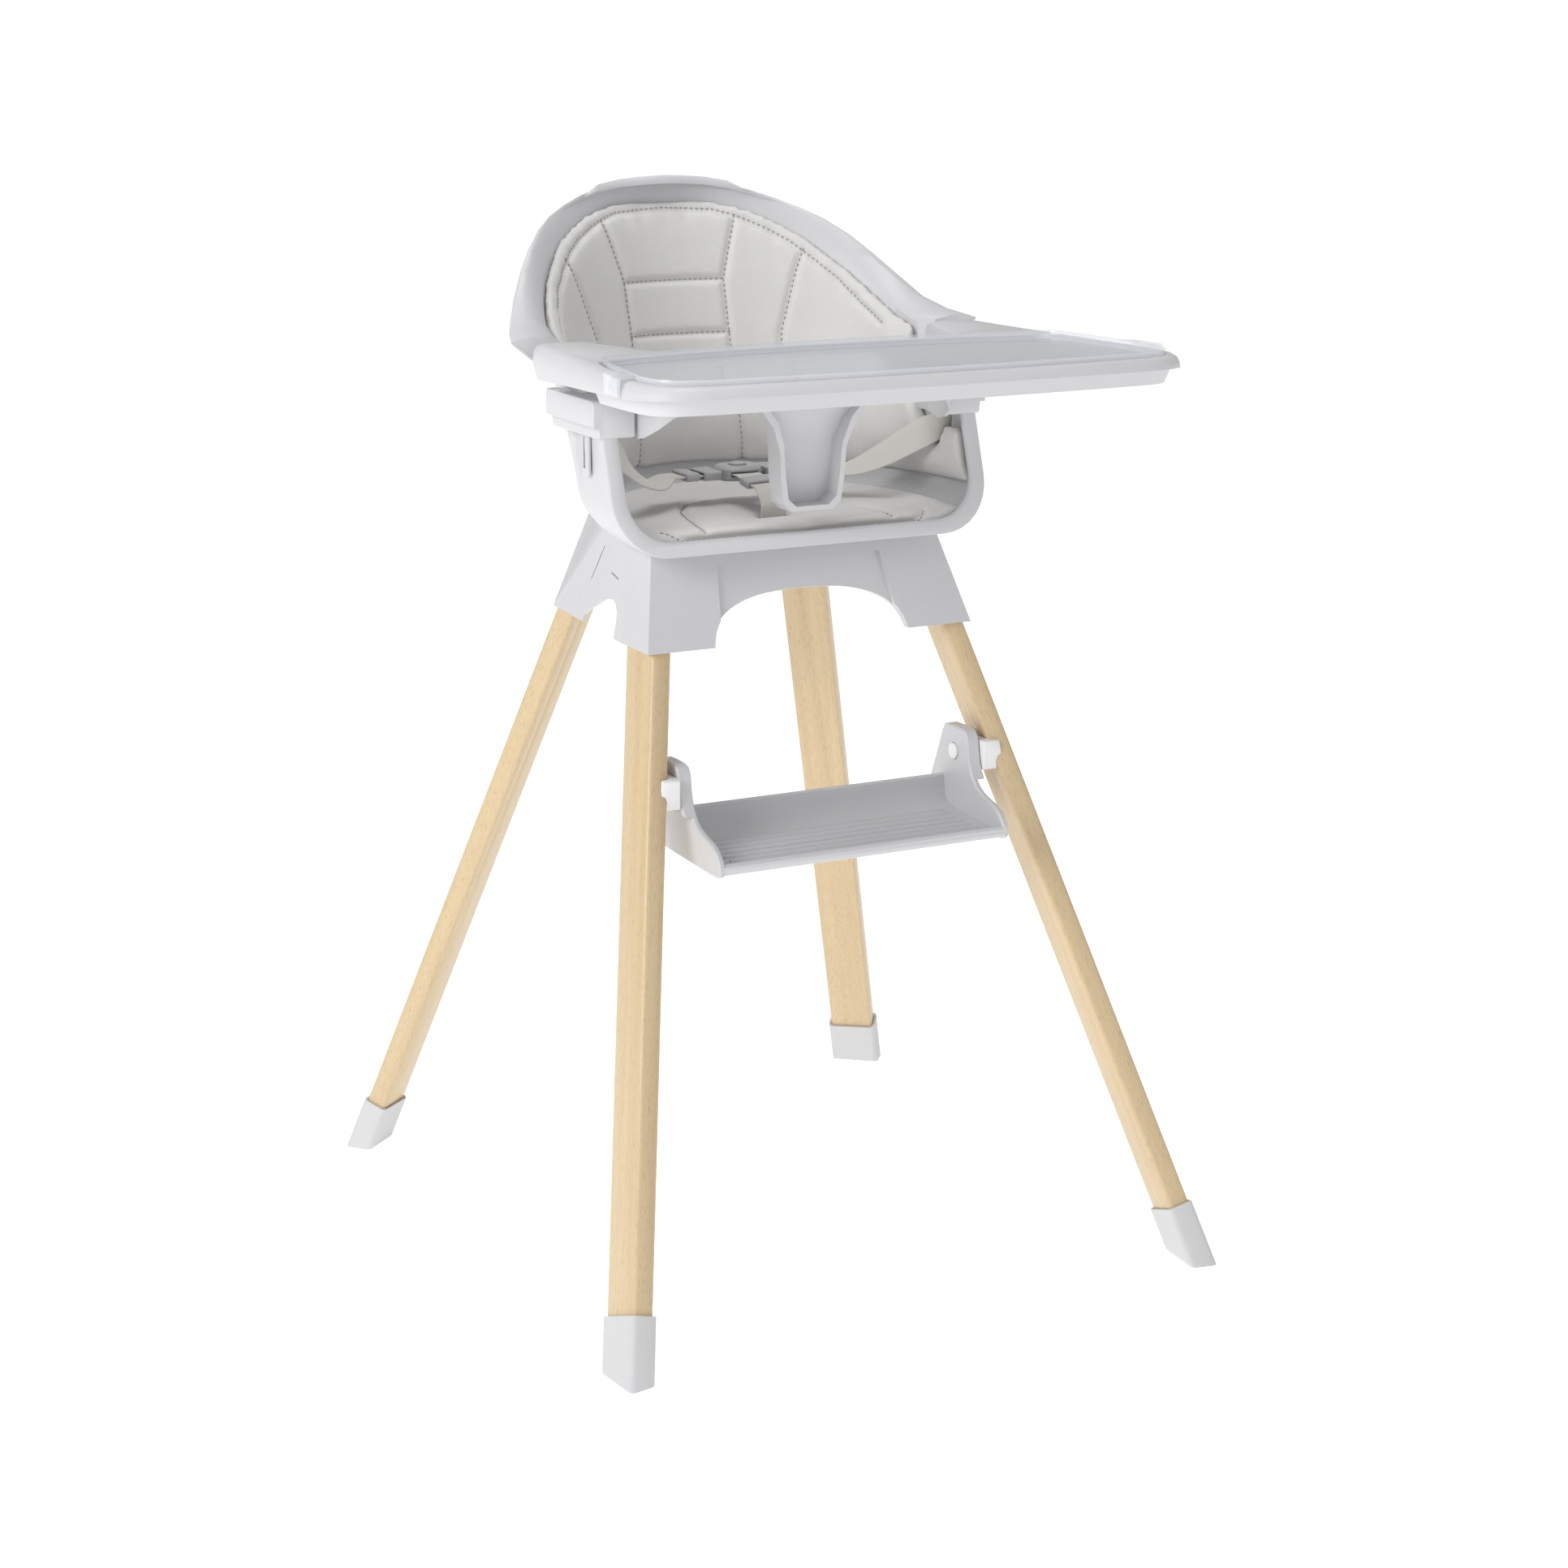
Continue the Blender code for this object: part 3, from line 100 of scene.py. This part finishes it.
# Floor ----------------------------------------------------------------------------------
# A level sheet of white acrylic, lit faintly from below as a light table is, and wide
# enough to fill the view behind the chair, so that no corner or horizon shows.
table = bmesh.new()
bmesh.ops.create_grid(table, x_segments=1, y_segments=1, size=90.0)
sheet = bpy.data.meshes.new("studio_floor")
table.to_mesh(sheet)
table.free()
floor = bpy.data.objects.new("studio_floor", sheet)
bpy.context.scene.collection.objects.link(floor)
acrylic = bpy.data.materials.new("white_acrylic")
acrylic.use_nodes = True
for socket, value in (("Base Color", (0.95, 0.95, 0.95, 1.0)), ("Roughness", 0.9),
                      ("Emission Color", (1.0, 1.0, 1.0, 1.0)), ("Emission Strength", 0.60)):
    acrylic.node_tree.nodes["Principled BSDF"].inputs[socket].default_value = value
sheet.materials.append(acrylic)


# Seat shell and leg hub -----------------------------------------------------------------
# Two injection mouldings in pale grey polypropylene, lightly spark-eroded so the surface is
# satin. The hub screws up under the pan and takes the four legs in its sockets.
class Signal:
    """A number that changes over a surface, combined with plain arithmetic."""

    def __init__(self, finish, socket):
        self.finish, self.socket = finish, socket

    def worked(self, operation, first, second):
        made = self.finish.node("Math", {"operation": operation}, {0: first, 1: second})
        return Signal(self.finish, made.outputs[0])

    def __add__(self, other):
        return self.worked("ADD", self, other)

    def __radd__(self, other):
        return self.worked("ADD", other, self)

    def __sub__(self, other):
        return self.worked("SUBTRACT", self, other)

    def __mul__(self, other):
        return self.worked("MULTIPLY", self, other)

    def __rmul__(self, other):
        return self.worked("MULTIPLY", other, self)


class Finish:
    """One material: its Principled shader and the nodes that feed it."""

    def __init__(self, name, colour, roughness, **constants):
        self.material = bpy.data.materials.new(name)
        self.material.use_nodes = True
        self.nodes, self.links = self.material.node_tree.nodes, self.material.node_tree.links
        self.shader = self.nodes["Principled BSDF"]
        self.feed(self.shader.inputs["Base Color"], colour)
        self.feed(self.shader.inputs["Roughness"], roughness)
        for key, value in constants.items():
            self.feed(self.shader.inputs[key.replace("_", " ").title()], value)

    def feed(self, socket, value):
        if isinstance(value, Signal):
            self.links.new(value.socket, socket)
        elif isinstance(value, bpy.types.NodeSocket):
            self.links.new(value, socket)
        elif socket.type == "RGBA":
            socket.default_value = (*value[:3], 1.0)
        else:
            socket.default_value = value

    def node(self, kind, settings, sockets):
        made = self.nodes.new("ShaderNode" + kind)
        for key, value in settings.items():
            if key == "stops":
                for stop, (spot, colour) in zip(made.color_ramp.elements, value):
                    stop.position, stop.color = spot, (*colour, 1.0)
            else:
                setattr(made, key, value)
        for key, value in sockets.items():
            self.feed(made.inputs[key], value)
        return made

    def place(self):
        return self.node("TexCoord", {}, {}).outputs["Object"]

    def noise(self, scale, detail=2.0, at=None):
        spot = self.place() if at is None else at
        made = self.node("TexNoise", {}, {"Vector": spot, "Scale": scale, "Detail": detail})
        return Signal(self, made.outputs["Fac"])

    def mix(self, share, low, high):
        return self.node("Mix", {"data_type": "RGBA"}, {0: share, 6: low, 7: high}).outputs[2]

    def relief(self, height, depth, strength=1.0):
        made = self.node("Bump", {}, {"Height": height, "Distance": depth, "Strength": strength})
        self.feed(self.shader.inputs["Normal"], made.outputs["Normal"])


def moulded_plastic(name, colour, roughness=0.42, spread=0.03):
    finish = Finish(name, colour, roughness)
    cloud = finish.noise(5.0)
    darker = tuple(c * (1.0 - spread) for c in colour)
    finish.feed(finish.shader.inputs["Base Color"], finish.mix(cloud, darker, colour))
    grain = finish.noise(1500.0, 3.0)
    finish.feed(finish.shader.inputs["Roughness"], roughness - 0.05 + 0.10 * grain)
    finish.relief(grain, 0.00022, 0.35)
    return finish.material


def stand_for(node, finish, soften=0.0007, turn=38):
    """The node's own shape with its edges broken, on the same body."""
    source = frame["nodes"][node]
    work = bmesh.new()
    work.from_mesh(source.data)
    bmesh.ops.remove_doubles(work, verts=work.verts, dist=1e-5)
    bmesh.ops.dissolve_limit(work, angle_limit=radians(0.4), verts=work.verts, edges=work.edges)
    mesh = bpy.data.meshes.new(node + "_skin")
    work.to_mesh(mesh)
    work.free()
    mesh.shade_smooth()
    mesh.set_sharp_from_angle(angle=radians(turn))
    mesh.materials.clear()
    mesh.materials.append(finish)
    made = bpy.data.objects.new(node + "_skin", mesh)
    bpy.context.scene.collection.objects.link(made)
    if soften:
        edge = made.modifiers.new("broken_edge", "BEVEL")
        edge.width, edge.segments, edge.limit_method = soften, 2, "ANGLE"
        edge.angle_limit = radians(turn)
        edge.harden_normals = True
    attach(made, source["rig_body"])
    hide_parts(node)
    return made


shell_grey = moulded_plastic("shell_polypropylene", (0.60, 0.597, 0.612))
stand_for("seat_shell", shell_grey, 0.0009, 42)
stand_for("leg_hub", shell_grey, 0.0012, 34)
stand_for("release_lever", shell_grey, 0.0, 38)

# Legs -----------------------------------------------------------------------------------
# Four solid beech bars, square cut with broken arrises and a clear satin lacquer. The pores
# run along each bar as short dark flecks between broader streaks.
LEG_LEAN = {"front": (-0.2406, 0.4225), "rear": (-0.2816, -0.2936)}


def beech(name, grain):
    """Beech whose grain runs along the given direction."""
    finish = Finish(name, (0.70, 0.52, 0.34), 0.42, coat_weight=0.25)
    along = Vector(grain).normalized()
    side = along.cross(Vector((0, 1, 0))).normalized()
    depth = along.cross(side)
    spot = finish.place()
    runs = []
    for way in (side, depth, along):
        measured = finish.node("VectorMath", {"operation": "DOT_PRODUCT"}, {0: spot, 1: tuple(way)})
        runs.append(Signal(finish, measured.outputs["Value"]))

    def lay(across_scale, along_scale):
        return finish.node("CombineXYZ", {}, {0: runs[0] * across_scale, 1: runs[1] * across_scale,
                                              2: runs[2] * along_scale}).outputs[0]

    streak = finish.noise(1.0, 4.0, at=lay(150.0, 5.0))
    figure = finish.noise(1.0, 2.0, at=lay(45.0, 1.6))
    fleck = finish.noise(1.0, 1.0, at=lay(1900.0, 150.0))
    black, white = (0, 0, 0), (1, 1, 1)
    ramp = finish.node("ValToRGB", {"stops": ((0.60, black), (0.68, white))}, {"Fac": fleck})
    warm = finish.mix(streak, (0.54, 0.385, 0.205), (0.715, 0.575, 0.365))
    toned = finish.mix(figure * 0.6, warm, (0.645, 0.50, 0.30))
    dark = Signal(finish, ramp.outputs["Color"]) * 0.45
    finish.feed(finish.shader.inputs["Base Color"], finish.mix(dark, toned, (0.36, 0.215, 0.12)))
    finish.feed(finish.shader.inputs["Roughness"], 0.38 + 0.16 * streak)
    finish.relief(streak - 0.6 * dark, 0.0003, 0.35)
    return finish.material


for place, lean in LEG_LEAN.items():
    for side, hand in ((-1, "left"), (1, "right")):
        wood = beech(f"beech_{place}_{hand}", (side * lean[0], lean[1], 1.0))
        stand_for(f"leg_{place}_{hand}", wood, 0.0006, 60)

# Foot caps ------------------------------------------------------------------------------
# Soft grey moulded boots pushed over the legs' ends, cut flat where they meet the floor.
cap_rubber = moulded_plastic("foot_cap_rubber", (0.62, 0.62, 0.63), 0.62, 0.05)
for place in LEG_LEAN:
    for hand in ("left", "right"):
        stand_for(f"foot_cap_{place}_{hand}", cap_rubber, 0.0010, 34)

# Footrest -------------------------------------------------------------------------------
# A ribbed tread between two cheeks, moulded in one with the shell's plastic. It hangs on
# glossy white brackets screwed to the front legs, each with a sprung release button.
stand_for("footrest_plate", shell_grey, 0.0008, 34)
gloss_white = moulded_plastic("bracket_gloss_white", (0.84, 0.84, 0.85), 0.24, 0.02)
for hand in ("left", "right"):
    stand_for("footrest_bracket_" + hand, gloss_white, 0.0005, 38)
    stand_for("footrest_button_" + hand, gloss_white, 0.0005, 50)

# Tray -----------------------------------------------------------------------------------
# A shallow tray with an apron round the child and a crotch post below, moulded in the
# shell's plastic. Two catches under its arms hold it to the armrests.
stand_for("tray_base", shell_grey, 0.0009, 40)
stand_for("crotch_post", shell_grey, 0.0011, 34)
for hand in ("left", "right"):
    stand_for("tray_latch_" + hand, shell_grey, 0.0, 40)

# Tray liner -----------------------------------------------------------------------------
# A clear, faintly blue dish that lifts off for washing, gripped by a tab at each side.
liner = Finish("clear_liner", (0.80, 0.84, 0.90), 0.16, coat_weight=0.6)
haze = liner.noise(2.5)
liner.feed(liner.shader.inputs["Base Color"], liner.mix(haze, (0.84, 0.87, 0.92), (0.89, 0.91, 0.95)))
liner.feed(liner.shader.inputs["Alpha"], 0.30 + 0.06 * haze)
liner.feed(liner.shader.inputs["Roughness"], 0.10 + 0.12 * liner.noise(60.0))
stand_for("tray_insert", liner.material, 0.0006, 36)

# Cushions -------------------------------------------------------------------------------
# Two pads of foam in soft grained leatherette: one lines the back and sides of the bucket,
# one lies on the pan. Sewn channels quilt them, with a stitched border inside the edge.
VOXEL = 0.0042                        # spacing of the even mesh each pad is made from
PRESSURE, STEPS, PILLOW_MOST = 3.0, 12, 0.0030   # how the covers are blown up, and how far at most
BUCKET_AXIS_Y, ABOVE_PAN = 0.04, 0.72
BACK_SEAM, SEAT_SEAM = (0.0030, 0.0034), (0.0026, 0.0036)   # depth and half width of each seam
RAYS_PER_CORNER = 12


def leatherette(name):
    finish = Finish(name, (0.60, 0.585, 0.56), 0.5, sheen_weight=0.08)
    cells = finish.node("TexVoronoi", {"feature": "DISTANCE_TO_EDGE"},
                        {"Vector": finish.place(), "Scale": 520.0})
    pebble = Signal(finish, cells.outputs["Distance"])
    cloud = finish.noise(9.0, 3.0)
    fine = finish.noise(1100.0)
    finish.feed(finish.shader.inputs["Base Color"], finish.mix(cloud, (0.60, 0.595, 0.58), (0.66, 0.655, 0.64)))
    finish.feed(finish.shader.inputs["Roughness"], 0.46 + 0.12 * fine)
    finish.relief(pebble + 0.35 * fine, 0.0005, 0.5)
    return finish.material


def swell(made):
    """Blow the pad up a little as foam does under a tight cover, and keep the result."""
    rest = np.array([v.co for v in made.data.vertices])
    cover = made.modifiers.new("cover", "CLOTH")
    cover.settings.use_pressure = True
    cover.settings.uniform_pressure_force = PRESSURE
    cover.settings.effector_weights.gravity = 0
    cover.settings.quality = 4
    cover.point_cache.frame_start, cover.point_cache.frame_end = 1, STEPS
    for step in range(1, STEPS + 1):
        bpy.context.scene.frame_set(step)
    shape = made.evaluated_get(bpy.context.evaluated_depsgraph_get())
    blown = np.array([v.co for v in shape.data.vertices])
    made.modifiers.remove(cover)
    bpy.context.scene.frame_set(1)
    if blown.shape == rest.shape:
        shift = blown - rest
        far = np.maximum(np.linalg.norm(shift, axis=1, keepdims=True), 1e-9)
        blown = rest + shift * np.minimum(1.0, PILLOW_MOST / far)
        for vertex, spot in zip(made.data.vertices, blown):
            vertex.co = spot


def pad_form(node, name):
    """The node's solid, remeshed evenly, swollen and rounded."""
    source = frame["nodes"][node]
    work = bmesh.new()
    work.from_mesh(source.data)
    bmesh.ops.remove_doubles(work, verts=work.verts, dist=1e-5)
    mesh = bpy.data.meshes.new(name)
    work.to_mesh(mesh)
    work.free()
    made = bpy.data.objects.new(name, mesh)
    bpy.context.scene.collection.objects.link(made)
    even = made.modifiers.new("even", "REMESH")
    even.mode, even.voxel_size = "VOXEL", VOXEL
    bpy.context.view_layer.update()
    made.data = bpy.data.meshes.new_from_object(made.evaluated_get(bpy.context.evaluated_depsgraph_get()))
    made.modifiers.clear()
    swell(made)
    round_off = made.modifiers.new("rounded", "SMOOTH")
    round_off.factor, round_off.iterations = 0.6, 5
    finer = made.modifiers.new("finer", "SUBSURF")
    finer.levels = finer.render_levels = 1
    made.data = bpy.data.meshes.new_from_object(made.evaluated_get(bpy.context.evaluated_depsgraph_get()))
    made.modifiers.clear()
    return made


def sew(made, lines, depth, width):
    """Draw the cover down along sewn lines."""
    co = np.array([v.co for v in made.data.vertices])
    normal = np.array([v.normal for v in made.data.vertices])
    near = np.full(len(co), 1.0)
    for line in lines:
        for a, b in zip(line, line[1:]):
            a, b = np.array(a), np.array(b)
            span = b - a
            share = np.clip(((co - a) @ span) / max(span @ span, 1e-12), 0, 1)
            near = np.minimum(near, np.linalg.norm(co - (a + share[:, None] * span), axis=1))
    pull = depth * np.exp(-(near / width) ** 2)
    co = co - normal * pull[:, None]
    made.data.vertices.foreach_set("co", co.astype(np.float32).ravel())
    made.data.update()


def surface_line(made, rays):
    tree = BVHTree.FromPolygons([v.co for v in made.data.vertices], [p.vertices[:] for p in made.data.polygons])
    hits = [tree.ray_cast(Vector(origin), Vector(way))[0] for origin, way in rays]
    return [tuple(hit) for hit in hits if hit]


def outwards(bearing, z):
    """A ray from the bucket's axis, level, along a bearing in degrees from straight back."""
    return (0, BUCKET_AXIS_Y, z), (sin(radians(bearing)), cos(radians(bearing)), 0)


def around(corners):
    """Rays outwards through a run of (bearing, height) corners."""
    rays = []
    for (a, low), (b, high) in zip(corners, corners[1:]):
        for k in range(RAYS_PER_CORNER):
            part = k / RAYS_PER_CORNER
            rays.append(outwards(a + (b - a) * part, low + (high - low) * part))
    return rays + [outwards(*corners[-1])]


def mirrored(corners):
    return [(-a, b) for a, b in corners]


cover_leather = leatherette("cushion_leatherette")
back = pad_form("back_cushion", "back_cushion_pad")
border = [(0, 0.8895), (17, 0.8870), (24, 0.8820), (33.5, 0.8710), (42, 0.8590), (49, 0.8460), (58, 0.8290),
          (68, 0.8080), (78, 0.7920)]
channel = [(26.6, 0.664), (26.6, 0.682), (21.4, 0.779), (19.8, 0.826), (23.0, 0.868), (24.0, 0.8820)]
outer_channel = [(46, 0.664), (44, 0.690), (41.5, 0.779), (45.0, 0.835), (46.5, 0.852)]
back_seams = [around(corners) for corners in (
    border, mirrored(border), channel, mirrored(channel), outer_channel, mirrored(outer_channel),
    [(-19.8, 0.826), (0, 0.826), (19.8, 0.826)], [(-21.4, 0.779), (0, 0.779), (21.4, 0.779)])]
sew(back, [surface_line(back, rays) for rays in back_seams], *BACK_SEAM)
seat = pad_form("seat_cushion", "seat_cushion_pad")


def from_above(side):
    """Rays down onto the pan through a run of corners, left side then right."""
    corners = [(-x, y) for x, y in side] + [(x, y) for x, y in reversed(side[:-1])]
    spots = []
    for a, b in zip(corners, corners[1:]):
        spots += [Vector(a).lerp(Vector(b), k / 5) for k in range(5)]
    return [((*spot, ABOVE_PAN), (0, 0, -1)) for spot in spots + [corners[-1]]]


seat_seams = [from_above(side) for side in (
    [(0.092, -0.072), (0.088, -0.045), (0.080, -0.010), (0.071, 0.022), (0.052, 0.052), (0.026, 0.068),
     (0.0, 0.073)],
    [(0.128, -0.058), (0.118, -0.069), (0.098, -0.0745), (0.060, -0.0755), (0.0, -0.0760)])]
sew(seat, [surface_line(seat, rays) for rays in seat_seams], *SEAT_SEAM)
for made, node, fill in ((back, "back_cushion", 0.75), (seat, "seat_cushion", 0.8)):
    made.data.shade_smooth()
    made.data.materials.clear()
    made.data.materials.append(cover_leather)
    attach(made, "chair")
    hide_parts(node)

# Stitching ------------------------------------------------------------------------------
# Grey thread lies in every seam, in short stitches a little apart. Its dark grey is partly the thread's own
# colour and partly painted shade of the stitch holes.
PITCH, STITCH, GAUGE = 0.0050, 0.0036, 0.00058   # spacing, length and half thickness
PROUD = 0.0005                        # how far a stitch stands out of the seam
# This thread colour is partly the thread's own grey and partly painted shade standing for the shadow in the
# stitch holes.
thread_and_hole_shade = Finish("stitching_thread", (0.33, 0.325, 0.315), 0.7)
thread_and_hole_shade.relief(thread_and_hole_shade.noise(3000.0), 0.0001, 0.5)


def stitch_row(made, name, rays):
    line = [Vector(p) for p in surface_line(made, rays)]
    form = bmesh.new()
    run = 0.0
    for a, b, (_, ray) in zip(line, line[1:], rays):
        span = (b - a).length
        while run < span:
            way = (b - a).normalized()
            side = way.cross(-Vector(ray)).normalized()
            out = side.cross(way)
            grid = Matrix((way, side, out)).transposed().to_4x4()
            grid.translation = a.lerp(b, run / span) + out * PROUD
            ball = bmesh.ops.create_icosphere(form, subdivisions=1, radius=1.0)
            shape = grid @ Matrix.Diagonal((STITCH / 2, GAUGE, GAUGE, 1.0))
            bmesh.ops.transform(form, matrix=shape, verts=ball["verts"])
            run += PITCH
        run -= span
    mesh = bpy.data.meshes.new(name)
    form.to_mesh(mesh)
    form.free()
    mesh.shade_smooth()
    mesh.materials.append(thread_and_hole_shade.material)
    stitches = bpy.data.objects.new(name, mesh)
    bpy.context.scene.collection.objects.link(stitches)
    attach(stitches, "chair")


for made, seams in ((back, back_seams), (seat, seat_seams)):
    for count, rays in enumerate(seams):
        stitch_row(made, f"{made.name}_stitches_{count}", rays)

# Harness --------------------------------------------------------------------------------
# Off-white polyester webbing 25 mm wide: a waist strap from a slot in each side of the
# shell and a crotch strap from the pan, meeting in a grey moulded buckle with one button.
web = Finish("harness_webbing", (0.62, 0.60, 0.565), 0.82, sheen_weight=0.2)
weave = web.node("TexWave", {"wave_type": "BANDS", "bands_direction": "DIAGONAL"},
                 {"Vector": web.place(), "Scale": 420.0, "Distortion": 1.0, "Detail": 1.0})
ribs = Signal(web, weave.outputs["Fac"])
web.feed(web.shader.inputs["Base Color"], web.mix(ribs, (0.54, 0.52, 0.485), (0.68, 0.66, 0.625)))
web.relief(ribs + 0.4 * web.noise(1800.0), 0.0003, 0.6)
for node in ("waist_strap_left", "waist_strap_right", "crotch_strap"):
    stand_for(node, web.material, 0.0003, 50)
buckle_grey = moulded_plastic("buckle_acetal", (0.40, 0.40, 0.41), 0.36, 0.04)
for node in ("buckle_body", "buckle_button", "buckle_tongue_left", "buckle_tongue_right", "waist_adjuster_left",
             "waist_adjuster_right", "crotch_adjuster"):
    stand_for(node, buckle_grey, 0.0004, 40)
for hand in ("left", "right"):
    stand_for("strap_anchor_" + hand, shell_grey, 0.0003, 40)

# Screws and springs ---------------------------------------------------------------------
# Zinc-plated steel: four screws hold the legs, four hold the hub, and light coils return
# the buttons.
zinc = Finish("zinc_plated_steel", (0.60, 0.60, 0.62), 0.3, metallic=1.0)
zinc.feed(zinc.shader.inputs["Roughness"], 0.26 + 0.14 * zinc.noise(400.0))
for node in sorted(frame["nodes"]):
    if "screw" in node or "spring" in node:
        stand_for(node, zinc.material, 0.0, 40)
